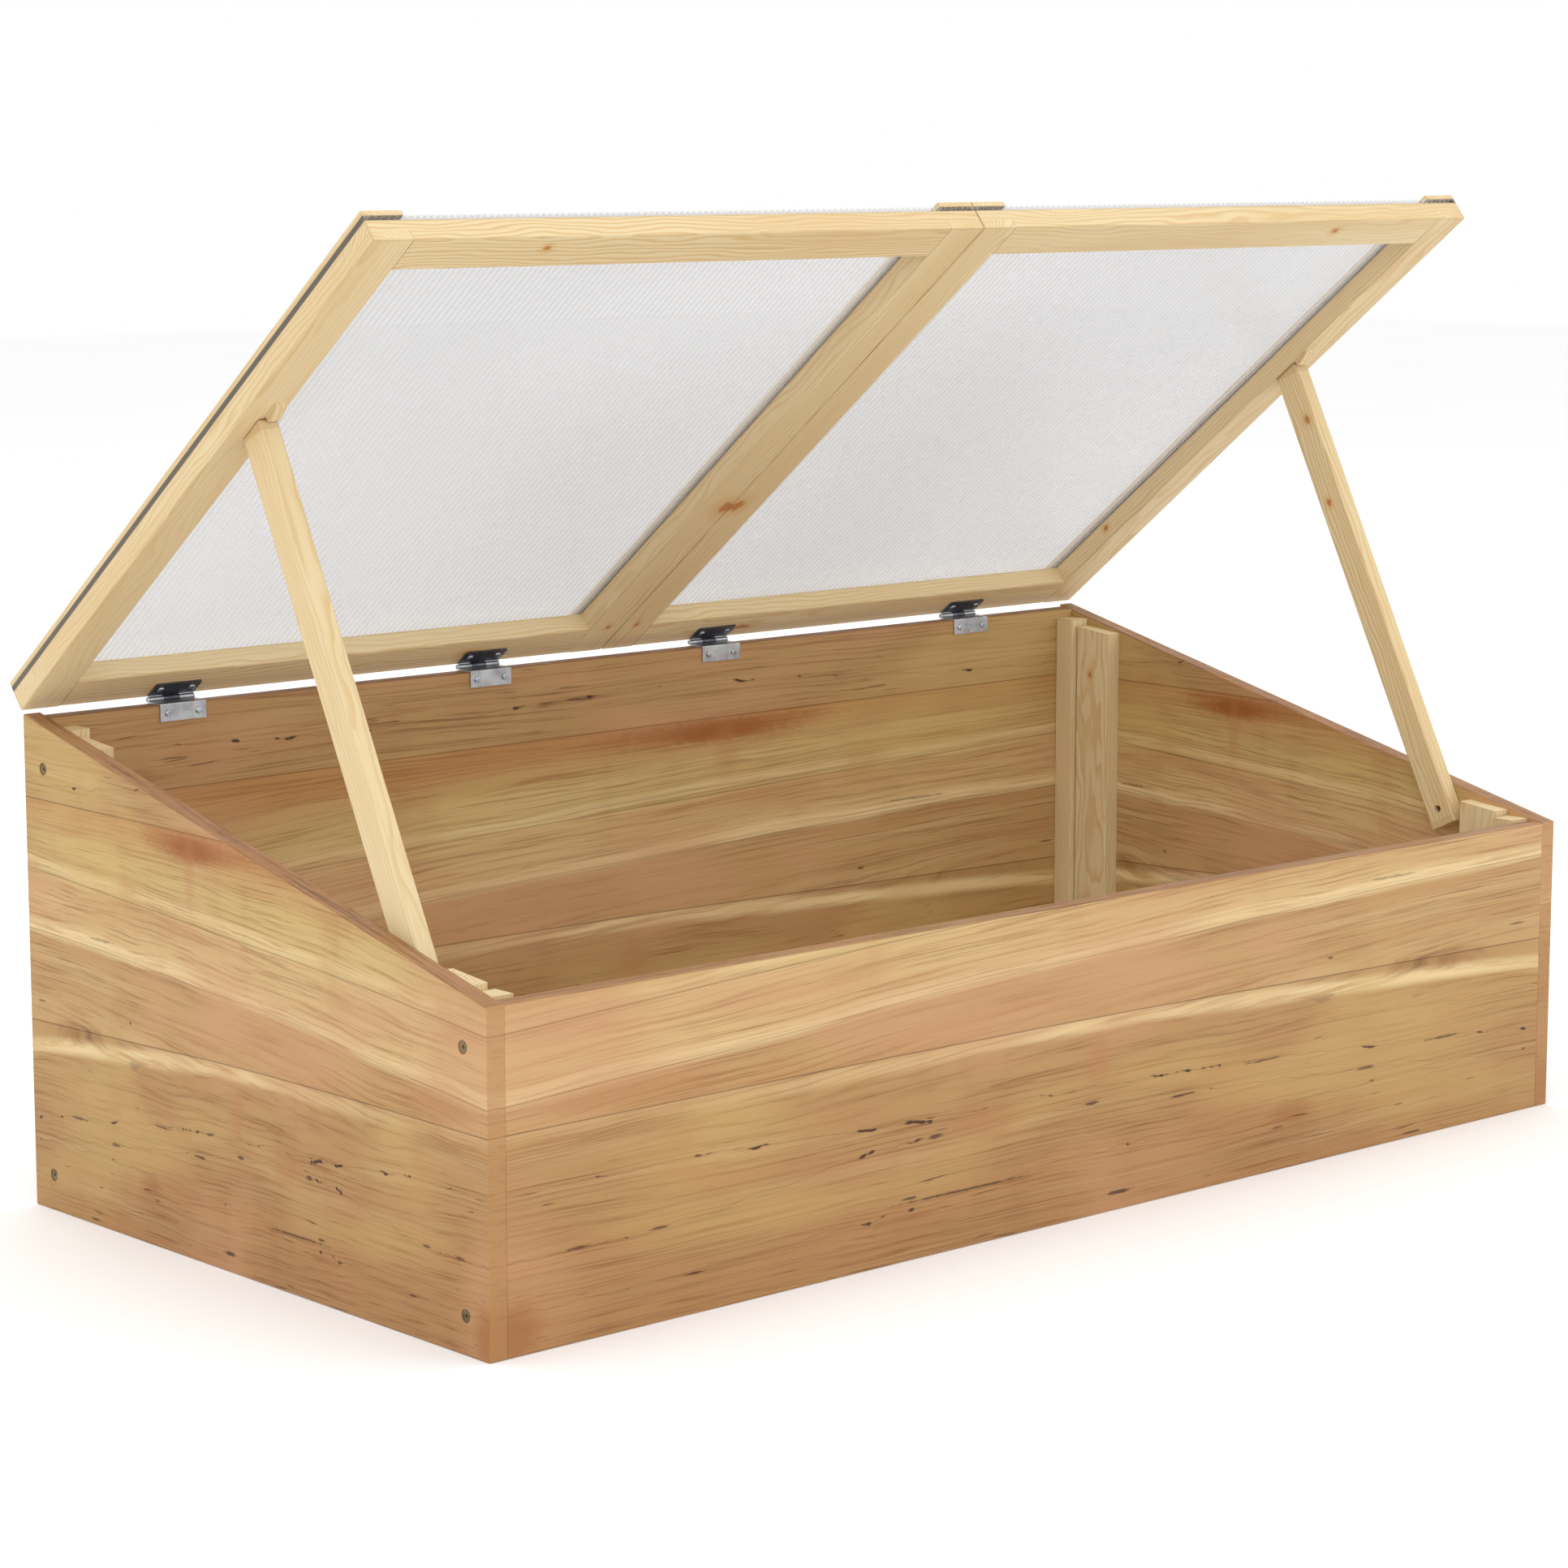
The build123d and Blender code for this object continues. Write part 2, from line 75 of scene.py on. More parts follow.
def blendColour(tree, amount, a, b, mode="MIX"):
    node = tree.nodes.new("ShaderNodeMix")
    node.data_type = "RGBA"
    node.blend_type = mode
    feed(tree, node.inputs[0], amount)
    feed(tree, node.inputs[6], a)
    feed(tree, node.inputs[7], b)
    return node.outputs[2]


def stretched(tree, vector, scales, offset=(0, 0, 0)):
    node = tree.nodes.new("ShaderNodeMapping")
    feed(tree, node.inputs["Vector"], vector)
    node.inputs["Scale"].default_value = scales
    node.inputs["Location"].default_value = offset
    return node.outputs[0]


def cloud(tree, vector, scale=1.0, detail=3.0, roughness=0.5, distortion=0.0):
    node = tree.nodes.new("ShaderNodeTexNoise")
    feed(tree, node.inputs["Vector"], vector)
    node.inputs["Scale"].default_value = scale
    node.inputs["Detail"].default_value = detail
    node.inputs["Roughness"].default_value = roughness
    node.inputs["Distortion"].default_value = distortion
    return node.outputs[0]


def lineAlong(tree, value, points):
    # a height that changes along the board, drawn as a smooth curve
    node = tree.nodes.new("ShaderNodeFloatCurve")
    curve = node.mapping.curves[0]
    curve.points[0].location = points[0]
    curve.points[1].location = points[-1]
    for place in points[1:-1]:
        curve.points.new(*place)
    node.mapping.update()
    feed(tree, node.inputs["Value"], value)
    return node.outputs[0]


def newGroup(name, inputs, outputs):
    group = bpy.data.node_groups.new(name, "ShaderNodeTree")
    for direction, sockets in (("INPUT", inputs), ("OUTPUT", outputs)):
        for label, kind, default in sockets:
            socket = group.interface.new_socket(label, in_out=direction, socket_type=f"NodeSocket{kind}")
            if default is not None:
                socket.default_value = default
    start = group.nodes.new("NodeGroupInput")
    end = group.nodes.new("NodeGroupOutput")
    return group, start.outputs, end.inputs


def useGroup(tree, group, **values):
    node = tree.nodes.new("ShaderNodeGroup")
    node.node_tree = group
    for label, value in values.items():
        feed(tree, node.inputs[label], value)
    return node.outputs


def newMaterial(name):
    material = bpy.data.materials.new(name)
    material.use_nodes = True
    tree = material.node_tree
    return material, tree, tree.nodes["Principled BSDF"]


def ownPlace(tree, origin, along, across):
    # the piece's own axes: X along its grain, Y across it, Z out of the face
    along = Vector(along).normalized()
    across = Vector(across).normalized()
    turn = Matrix((along, across, along.cross(across)))
    where = tree.nodes.new("ShaderNodeTexCoord")
    node = tree.nodes.new("ShaderNodeMapping")
    tree.links.new(where.outputs["Object"], node.inputs["Vector"])
    node.inputs["Rotation"].default_value = turn.to_euler("XYZ")
    node.inputs["Location"].default_value = -(turn @ Vector(origin))
    return node.outputs[0]


def surfaceBump(tree, shader, height, strength, distance):
    node = tree.nodes.new("ShaderNodeBump")
    node.inputs["Strength"].default_value = strength
    node.inputs["Distance"].default_value = distance
    tree.links.new(height, node.inputs["Height"])
    tree.links.new(node.outputs[0], shader.inputs["Normal"])


# effects that several finishes share


def buildEdgeWear():
    # where two faces of a squared piece meet: the middle one of the three distances to its faces is small
    group, given, result = newGroup(
        "edgeWear",
        [("Place", "Vector", None), ("Half Size", "Vector", (0.1, 0.1, 0.1)), ("Width", "Float", 0.0015)],
        [("Mask", "Float", None)],
    )
    inside = vectorCalc(group, "SUBTRACT", given["Half Size"], vectorCalc(group, "ABSOLUTE", given["Place"]))
    split = group.nodes.new("ShaderNodeSeparateXYZ")
    group.links.new(inside, split.inputs[0])
    x, y, z = split.outputs
    nearest = calc(group, "MINIMUM", x, y)
    middle = calc(group, "MAXIMUM", nearest, calc(group, "MINIMUM", calc(group, "MAXIMUM", x, y), z))
    broken = cloud(group, stretched(group, given["Place"], (18, 90, 90)), detail=4)
    reach = calc(group, "MULTIPLY", given["Width"], fade(group, broken, 0.3, 0.7, 0.4, 1.5))
    mask = fade(group, calc(group, "DIVIDE", middle, reach), 0.2, 1.0, 1.0, 0.0)
    group.links.new(mask, result["Mask"])
    return group


def buildKnot():
    group, given, result = newGroup(
        "knot",
        [("Place", "Vector", None), ("Centre", "Vector", None), ("Size", "Vector", (0.01, 0.01, 0.01))],
        [("Heart", "Float", None), ("Halo", "Float", None)],
    )
    fromCentre = vectorCalc(group, "SUBTRACT", given["Place"], given["Centre"])
    away = vectorCalc(group, "DIVIDE", fromCentre, given["Size"])
    ragged = cloud(group, stretched(group, given["Place"], (120, 260, 260)), detail=4, roughness=0.6)
    distance = calc(group, "ADD", vectorCalc(group, "LENGTH", away), fade(group, ragged, 0.2, 0.8, -0.3, 0.3))
    group.links.new(fade(group, distance, 0.35, 1.0, 1.0, 0.0), result["Heart"])
    group.links.new(fade(group, distance, 0.6, 2.4, 1.0, 0.0), result["Halo"])
    return group


edgeWear = buildEdgeWear()
knotEffect = buildKnot()

# box boards: warm brown hardwood strips glued edge to edge

boardLook = {
    "lowBoard": [shade(166, 124, 80), shade(170, 130, 84), shade(178, 142, 92)],
    "cream": shade(224, 198, 148),
    "secondStrip": shade(184, 147, 98),
    "thirdStrip": shade(202, 169, 118),
    "fourthStrip": shade(194, 166, 108),
    "fourthTop": shade(180, 132, 80),
    "topStrip": shade(176, 140, 92),
    "redTint": shade(172, 120, 76),
    "knotTint": shade(146, 84, 36),
    "pink": shade(194, 147, 107),
    "yellow": shade(198, 168, 104),
    "dark": shade(66, 40, 28),
    "sawnLight": shade(158, 114, 77),
    "sawnDark": shade(112, 77, 50),
    "endGrain": shade(170, 126, 80),
    "stripLength": 1.07,
    # heights of the glue lines above the ground, from the left end of the strip to its right end
    "lowGlue": [(0.0, 0.149), (0.5, 0.149), (0.75, 0.145), (1.0, 0.141)],
    "creamLine": [(0.0, 0.149), (0.3, 0.145), (0.5, 0.144), (0.7, 0.137), (0.9, 0.127), (1.0, 0.121)],
    "midGlue": [(0.0, 0.168), (0.2, 0.179), (0.4, 0.192), (0.6, 0.198), (0.8, 0.206), (1.0, 0.210)],
    "highGlue": [(0.0, 0.216), (0.27, 0.230), (0.6, 0.242), (1.0, 0.256)],
    "topGlue": [(0.0, 0.302), (0.5, 0.306), (1.0, 0.308)],
    # broken dark lines along the grain, three in the lowest strip and one in the highest
    "darkLines": [
        [(0.0, 0.108), (0.2, 0.107), (0.33, 0.100), (0.5, 0.097),
         (0.69, 0.090), (0.87, 0.077), (1.0, 0.068)],
        [(0.0, 0.063), (0.12, 0.065), (0.35, 0.086), (0.5, 0.084),
         (0.62, 0.077), (0.79, 0.065), (1.0, 0.050)],
        [(0.0, 0.028), (0.15, 0.030), (0.25, 0.034), (0.35, 0.037),
         (0.43, 0.043), (0.5, 0.047), (1.0, 0.052)],
        [(0.0, 0.342), (0.3, 0.330), (0.5, 0.338), (0.7, 0.333), (0.85, 0.322), (1.0, 0.320)],
    ],
}


def buildBoardFigure(look):
    group, given, result = newGroup(
        "boardFigure",
        [("Place", "Vector", None)],
        [("Color", "Color", None), ("Roughness", "Float", None), ("Height", "Float", None)],
    )
    place = given["Place"]
    split = group.nodes.new("ShaderNodeSeparateXYZ")
    group.links.new(place, split.inputs[0])
    u = calc(group, "DIVIDE", split.outputs["X"], look["stripLength"])
    wander = cloud(group, stretched(group, place, (2.6, 1.0, 14.0)), detail=3)
    height = calc(group, "ADD", split.outputs["Z"], fade(group, wander, 0.2, 0.8, -0.004, 0.004))
    lowGlue = lineAlong(group, u, look["lowGlue"])
    midGlue = lineAlong(group, u, look["midGlue"])
    highGlue = lineAlong(group, u, look["highGlue"])
    topGlue = lineAlong(group, u, look["topGlue"])
    creamLine = lineAlong(group, u, look["creamLine"])
    plain = split.outputs["Z"]

    # the grain leans with the strips in the middle of the panel
    lean = calc(
        group, "MULTIPLY",
        calc(group, "SUBTRACT", midGlue, 0.168),
        calc(group, "MULTIPLY", fade(group, plain, 0.10, 0.17), fade(group, plain, 0.27, 0.32, 1.0, 0.0)),
    )
    layer = calc(group, "SUBTRACT", height, lean)
    grainPlace = group.nodes.new("ShaderNodeCombineXYZ")
    feed(group, grainPlace.inputs[0], split.outputs["X"])
    feed(group, grainPlace.inputs[1], split.outputs["Y"])
    feed(group, grainPlace.inputs[2], layer)
    grain = grainPlace.outputs[0]
    broad = cloud(group, stretched(group, grain, (1.7, 8.0, 62.0)), detail=4, roughness=0.55, distortion=0.4)
    finePlace = stretched(group, grain, (7.0, 60.0, 420.0), (3.1, 0.0, 1.7))
    fine = cloud(group, finePlace, detail=5, roughness=0.65)
    hairs = cloud(group, stretched(group, grain, (3.5, 30.0, 760.0), (0.0, 5.0, 9.0)), detail=2)
    figure = cloud(group, stretched(group, place, (16.0, 6.0, 5.0), (7.0, 0.0, 2.0)), detail=2)

    rise = fade(group, plain, 0.0, 0.15, 0.0, 0.8)
    tone = calc(group, "ADD", rise, fade(group, broad, 0.3, 0.7, -0.30, 0.30))
    ramp = group.nodes.new("ShaderNodeValToRGB")
    group.links.new(tone, ramp.inputs[0])
    ramp.color_ramp.elements[0].color = look["lowBoard"][0]
    ramp.color_ramp.elements[1].color = look["lowBoard"][2]
    middle = ramp.color_ramp.elements.new(0.5)
    middle.color = look["lowBoard"][1]
    colour = ramp.outputs[0]

    def above(line, soft=0.0006):
        return fade(group, calc(group, "SUBTRACT", plain, line), 0.0, soft)

    def near(line, value, width, strength=1.0):
        away = calc(group, "ABSOLUTE", calc(group, "SUBTRACT", value, line))
        return fade(group, away, 0.15 * width, width, strength, 0.0)

    # a cream streak under the lowest glue line, wider to the right
    colour = blendColour(
        group, calc(group, "MULTIPLY", near(creamLine, height, 0.010), fade(group, u, 0.02, 0.6, 0.2, 0.95)),
        colour, look["cream"])
    colour = blendColour(group, above(lowGlue), colour, look["secondStrip"])
    creamEdge = calc(group, "ADD", midGlue, 0.005)
    colour = blendColour(group, above(midGlue, 0.0010), colour, look["thirdStrip"])
    colour = blendColour(group, near(creamEdge, height, 0.008, 0.85), colour, look["cream"])
    highFade = fade(group, calc(group, "SUBTRACT", plain, highGlue), 0.02, 0.065)
    fourth = blendColour(group, highFade, look["fourthStrip"], look["fourthTop"])
    colour = blendColour(group, above(highGlue), colour, fourth)
    colour = blendColour(
        group, near(calc(group, "ADD", highGlue, 0.006), height, 0.008, 0.55), colour, look["cream"])
    colour = blendColour(group, above(topGlue), colour, look["topStrip"])

    # broad streaks, fine grain and cross-grain shimmer
    colour = blendColour(group, fade(group, broad, 0.46, 0.68, 0.0, 0.32), colour, look["redTint"])
    colour = blendColour(group, fade(group, broad, 0.30, 0.46, 0.16, 0.0), colour, look["cream"])
    colour = blendColour(group, fade(group, fine, 0.48, 0.68, 0.0, 0.50), colour, look["redTint"], "MULTIPLY")
    colour = blendColour(group, fade(group, hairs, 0.56, 0.68, 0.0, 0.30), colour, look["dark"])
    shimmer = fade(group, figure, 0.50, 0.75, 0.0, 0.10)
    colour = blendColour(group, shimmer, colour, look["redTint"], "MULTIPLY")
    flush = cloud(group, stretched(group, place, (2.4, 1.0, 7.0), (1.3, 0.0, 4.0)), detail=2, distortion=0.3)
    colour = blendColour(group, fade(group, flush, 0.48, 0.66, 0.0, 0.65), colour, look["pink"])
    colour = blendColour(group, fade(group, flush, 0.34, 0.47, 0.42, 0.0), colour, look["yellow"])
    cloudyPlace = stretched(group, place, (5.0, 3.0, 16.0), (3.0, 1.0, 8.0))
    cloudy = cloud(group, cloudyPlace, detail=3, distortion=0.6)
    colour = blendColour(group, fade(group, cloudy, 0.50, 0.72, 0.0, 0.30), colour, look["redTint"])

    # thin dark line at each glue joint
    for line, depth in ((lowGlue, 0.5), (highGlue, 0.36), (topGlue, 0.45), (midGlue, 0.25)):
        colour = blendColour(group, near(line, plain, 0.0009, depth), colour, look["dark"])

    # dark mineral streaks, mostly in the lowest and the highest strip
    fleckPlace = stretched(group, grain, (17.0, 40.0, 300.0), (2.0, 4.0, 6.0))
    fleck = cloud(group, fleckPlace, detail=2, distortion=0.3)
    patch = cloud(group, stretched(group, place, (4.0, 2.0, 22.0), (1.0, 0.0, 3.0)), detail=1)
    lowZone = fade(group, plain, 0.10, 0.14, 0.9, 0.15)
    zone = calc(group, "MAXIMUM", lowZone, fade(group, plain, 0.30, 0.31, 0.0, 0.7))
    dark = calc(
        group, "MULTIPLY", fade(group, fleck, 0.655, 0.72),
        calc(group, "MULTIPLY", zone, fade(group, patch, 0.46, 0.60)))
    colour = blendColour(group, calc(group, "MULTIPLY", dark, 0.85), colour, look["dark"])
    dashes = cloud(group, stretched(group, place, (26.0, 1.0, 3.0), (0.0, 0.0, 5.0)), detail=3, roughness=0.6)
    shake = cloud(group, stretched(group, place, (30.0, 1.0, 30.0), (9.0, 0.0, 0.0)), detail=2)
    shaken = calc(group, "ADD", plain, fade(group, shake, 0.2, 0.8, -0.0022, 0.0022))
    for number, points in enumerate(look["darkLines"]):
        line = lineAlong(group, u, points)
        broken = fade(group, calc(group, "ADD", dashes, 0.04 * math.sin(5.0 * number)), 0.545, 0.65)
        thickness = calc(group, "MULTIPLY", broken, 0.0014)
        colour = blendColour(group, near(line, shaken, 0.0006, 0.22), colour, look["dark"])
        away = calc(group, "ABSOLUTE", calc(group, "SUBTRACT", shaken, line))
        outside = calc(group, "SUBTRACT", away, thickness)
        stroke = calc(group, "MULTIPLY", fade(group, outside, -0.0007, 0.0002, 0.95, 0.0), broken)
        colour = blendColour(group, stroke, colour, look["dark"])

    group.links.new(colour, result["Color"])
    group.links.new(fade(group, fine, 0.3, 0.7, 0.42, 0.60), result["Roughness"])
    relief = calc(group, "SUBTRACT", calc(group, "MULTIPLY", fine, 0.6), calc(group, "MULTIPLY", dark, 0.8))
    group.links.new(relief, result["Height"])
    return group


boardFigure = buildBoardFigure(boardLook)

# marks that every panel shows, each as place along the strip in metres, height, length, thickness,
# strength and tint
boardMarks = [
    (0.640, 0.297, 0.075, 0.0062, 0.60, "knotTint"),
    (0.650, 0.295, 0.034, 0.0050, 0.75, "knotTint"),
    (0.655, 0.280, 0.008, 0.0160, 0.30, "redTint"),
    (0.360, 0.045, 0.012, 0.0014, 0.80, "dark"),
    (0.645, 0.076, 0.020, 0.0013, 0.80, "dark"),
    (0.735, 0.089, 0.028, 0.0012, 0.70, "dark"),
    (0.950, 0.076, 0.030, 0.0013, 0.75, "dark"),
    (0.160, 0.028, 0.012, 0.0014, 0.80, "dark"),
    (0.060, 0.064, 0.012, 0.0014, 0.75, "dark"),
    (0.810, 0.159, 0.005, 0.0016, 0.70, "dark"),
    (1.040, 0.157, 0.012, 0.0013, 0.65, "dark"),
    (0.552, 0.114, 0.008, 0.011, 0.50, "redTint"),
    (0.435, 0.088, 0.020, 0.008, 0.45, "redTint"),
    (0.768, 0.045, 0.016, 0.0045, 0.35, "knotTint"),
    (0.005, 0.015, 0.014, 0.012, 0.50, "knotTint"),
    (0.415, 0.042, 0.085, 0.0012, 0.80, "dark"),
    (0.385, 0.086, 0.009, 0.0022, 0.80, "dark"),
    (0.575, 0.013, 0.018, 0.0022, 0.85, "dark"),
    (0.110, 0.161, 0.045, 0.006, 0.50, "redTint"),
    (0.545, 0.085, 0.012, 0.0016, 0.80, "dark"),
    (0.855, 0.065, 0.013, 0.0018, 0.75, "dark"),
    (0.880, 0.214, 0.045, 0.0016, 0.45, "dark"),
    (0.130, 0.065, 0.012, 0.0016, 0.70, "dark"),
]


def makeBoardMaterial(name, origin, along, across, gain, marks):
    material, tree, shader = newMaterial(name)
    place = ownPlace(tree, origin, along, across)
    place = stretched(tree, place, (gain, 1.0, 1.0))
    out = useGroup(tree, boardFigure, Place=place)
    colour = out["Color"]
    for x, z, length, thick, strength, tint in marks:
        knot = useGroup(tree, knotEffect, Place=place, Centre=(x, 0.0, z), Size=(length, 10.0, thick))
        amount = calc(tree, "MULTIPLY", knot["Halo" if thick > 0.004 else "Heart"], strength)
        colour = blendColour(tree, amount, colour, boardLook[tint])
    # sawn top edges are browner, with fine saw lines
    where = tree.nodes.new("ShaderNodeTexCoord")
    split = tree.nodes.new("ShaderNodeSeparateXYZ")
    tree.links.new(where.outputs["Normal"], split.inputs[0])
    sawn = fade(tree, split.outputs["Z"], 0.45, 0.75)
    saw = cloud(tree, stretched(tree, place, (9.0, 520.0, 9.0)), detail=3)
    edgeTone = blendColour(tree, fade(tree, saw, 0.46, 0.66), boardLook["sawnLight"], boardLook["sawnDark"])
    colour = blendColour(tree, calc(tree, "MULTIPLY", sawn, 0.85), colour, edgeTone)
    # end grain drinks more oil, so the ends of the boards are browner
    facing = tree.nodes.new("ShaderNodeVectorMath")
    facing.operation = "DOT_PRODUCT"
    tree.links.new(where.outputs["Normal"], facing.inputs[0])
    facing.inputs[1].default_value = along
    endGrain = fade(tree, calc(tree, "ABSOLUTE", facing.outputs["Value"]), 0.6, 0.9)
    colour = blendColour(tree, calc(tree, "MULTIPLY", endGrain, 0.55), colour, boardLook["endGrain"])
    tree.links.new(colour, shader.inputs["Base Color"])
    tree.links.new(out["Roughness"], shader.inputs["Roughness"])
    shader.inputs["Specular IOR Level"].default_value = 0.22
    surfaceBump(tree, shader, out["Height"], 0.25, 0.0006)
    return material


# pale softwood: posts, cleats, lid frames, battens and props

firLook = {
    "early": shade(220, 199, 157),
    "late": shade(200, 162, 106),
    "warm": shade(210, 180, 131),
    "knot": shade(178, 108, 50),
    "knotRing": shade(204, 158, 98),
    "arris": shade(188, 158, 110),
    "ringGap": 0.0034,
}


def buildFirGrain(look):
    group, given, result = newGroup(
        "firGrain",
        [("Place", "Vector", None)],
        [("Color", "Color", None), ("Roughness", "Float", None), ("Height", "Float", None)],
    )
    place = given["Place"]
    bend = group.nodes.new("ShaderNodeTexNoise")
    group.links.new(stretched(group, place, (1.6, 7.0, 7.0)), bend.inputs["Vector"])
    bend.inputs["Detail"].default_value = 2.0
    drift = vectorCalc(group, "SUBTRACT", bend.outputs["Color"], (0.5, 0.5, 0.5))
    drift = vectorCalc(group, "MULTIPLY", drift, (0.0, 0.022, 0.022))
    split = group.nodes.new("ShaderNodeSeparateXYZ")
    group.links.new(vectorCalc(group, "ADD", place, drift), split.inputs[0])
    y, z = split.outputs["Y"], split.outputs["Z"]
    squares = calc(group, "ADD", calc(group, "MULTIPLY", y, y), calc(group, "MULTIPLY", z, z))
    radius = calc(group, "SQRT", squares)
    turn = calc(group, "FRACT", calc(group, "DIVIDE", radius, look["ringGap"]))
    late = calc(group, "MULTIPLY", fade(group, turn, 0.35, 0.86), fade(group, turn, 0.90, 1.0, 1.0, 0.0))
    year = cloud(group, stretched(group, place, (0.6, 26.0, 26.0), (4.0, 1.0, 8.0)), detail=1)
    fibre = cloud(group, stretched(group, place, (26.0, 700.0, 700.0)), detail=3, roughness=0.6)
    broad = cloud(group, stretched(group, place, (3.0, 24.0, 24.0), (2.0, 6.0, 1.0)), detail=2)
    lateShare = calc(group, "MULTIPLY", late, fade(group, year, 0.3, 0.7, 0.25, 0.75))
    colour = blendColour(group, lateShare, look["early"], look["late"])
    colour = blendColour(group, fade(group, broad, 0.42, 0.72, 0.0, 0.55), colour, look["warm"])
    colour = blendColour(group, fade(group, fibre, 0.52, 0.75, 0.0, 0.28), colour, look["late"])
    group.links.new(colour, result["Color"])
    group.links.new(fade(group, fibre, 0.3, 0.7, 0.48, 0.66), result["Roughness"])
    relief = calc(group, "ADD", calc(group, "MULTIPLY", late, 0.5), calc(group, "MULTIPLY", fibre, 0.5))
    group.links.new(relief, result["Height"])
    return group


firGrain = buildFirGrain(firLook)


def makeFirMaterial(name, centre, along, across, halfSize, heart, slide=0.0, knots=()):
    # heart is where the tree's middle lies from the piece's own middle, across and out of its face
    material, tree, shader = newMaterial(name)
    place = ownPlace(tree, centre, along, across)
    moved = vectorCalc(tree, "ADD", place, (slide, heart[0], heart[1]))
    out = useGroup(tree, firGrain, Place=moved)
    colour = out["Color"]
    for spot, size in knots:
        knot = useGroup(tree, knotEffect, Place=place, Centre=spot, Size=size)
        colour = blendColour(tree, calc(tree, "MULTIPLY", knot["Halo"], 0.55), colour, firLook["knotRing"])
        colour = blendColour(tree, calc(tree, "MULTIPLY", knot["Heart"], 0.85), colour, firLook["knot"])
    worn = useGroup(tree, edgeWear, Place=place, **{"Half Size": halfSize, "Width": 0.0013})
    colour = blendColour(tree, calc(tree, "MULTIPLY", worn["Mask"], 0.45), colour, firLook["arris"])
    tree.links.new(colour, shader.inputs["Base Color"])
    tree.links.new(out["Roughness"], shader.inputs["Roughness"])
    shader.inputs["Specular IOR Level"].default_value = 0.25
    surfaceBump(tree, shader, out["Height"], 0.2, 0.0004)
    return material


def dress(name, material):
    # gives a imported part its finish; its shape and place stay as they are
    part = frame["nodes"][name]
    if not part.material_slots:
        part.data.materials.append(material)
    for slot in part.material_slots:
        slot.material = material


def middleOf(name):
    low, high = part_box(name)
    return (Vector(low) + Vector(high)) / 2


def halfOf(name):
    low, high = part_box(name)
    return (Vector(high) - Vector(low)) / 2


# box panels

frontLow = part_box("front_panel")[0]
sideLow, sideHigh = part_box("left_side_panel")
sideGain = 1.945  # the strips' figure is squeezed to fit the shorter side panels
panelPlan = {
    "front_panel": {
        "origin": (frontLow[0], frontLow[1], 0.0), "along": (1, 0, 0), "across": (0, 1, 0), "gain": 1.0},
    "back_panel": {
        "origin": (frontLow[0], sideHigh[1], 0.0), "along": (1, 0, 0), "across": (0, 1, 0), "gain": 1.0},
    "left_side_panel": {
        "origin": (sideLow[0], sideLow[1], 0.0), "along": (0, 1, 0), "across": (-1, 0, 0), "gain": sideGain},
    "right_side_panel": {
        "origin": (-sideLow[0], sideLow[1], 0.0), "along": (0, 1, 0), "across": (-1, 0, 0), "gain": sideGain},
}
for name, plan in panelPlan.items():
    dress(name, makeBoardMaterial(
        name + "_boards", plan["origin"], plan["along"], plan["across"], plan["gain"], boardMarks))
print("cold frame: box panels finished")

# posts and cleats stand with their grain upright

postPlan = {
    "front_left_post": {"heart": (0.03, 0.02), "slide": 0.3, "knots": []},
    "front_right_post": {"heart": (0.02, -0.04), "slide": 1.1, "knots": []},
    "back_left_post": {"heart": (-0.03, 0.03), "slide": 2.3, "knots": []},
    "back_right_post": {"heart": (0.035, -0.01), "slide": 3.2, "knots": []},
    "front_left_cleat": {"heart": (0.01, 0.04), "slide": 4.6, "knots": []},
    "front_right_cleat": {"heart": (-0.02, 0.05), "slide": 5.4, "knots": []},
    "back_left_cleat": {"heart": (0.015, -0.05), "slide": 6.2, "knots": []},
    "back_right_cleat": {
        "heart": (0.0, 0.045), "slide": 7.5, "knots": [((0.135, 0.002, 0.0), (0.004, 0.0035, 0.02))]},
}
for name, plan in postPlan.items():
    half = halfOf(name)
    size = (half.z, half.y, half.x)
    dress(name, makeFirMaterial(
        name + "_wood", middleOf(name), (0, 0, 1), (0, 1, 0), size,
        plan["heart"], plan["slide"], plan["knots"]))
print("cold frame: posts and cleats finished")

# lids: stiles, rails and battens

lidSize = {
    "angle": 38.2, "depth": 0.56585, "stile": 0.033, "frame": 0.016, "lift": 0.00255,
    "batten": 0.0045, "sheet": 0.004,
}
lidAngle = math.radians(lidSize["angle"])
upLid = Vector((0, -math.cos(lidAngle), math.sin(lidAngle)))
outOfLid = Vector((0, math.sin(lidAngle), math.cos(lidAngle)))


def onLid(x, up, out):
    hinge = Vector(joints["left_lid_hinge"]["pos_m"])
    return Vector((x, hinge.y, hinge.z)) + upLid * up + outOfLid * out


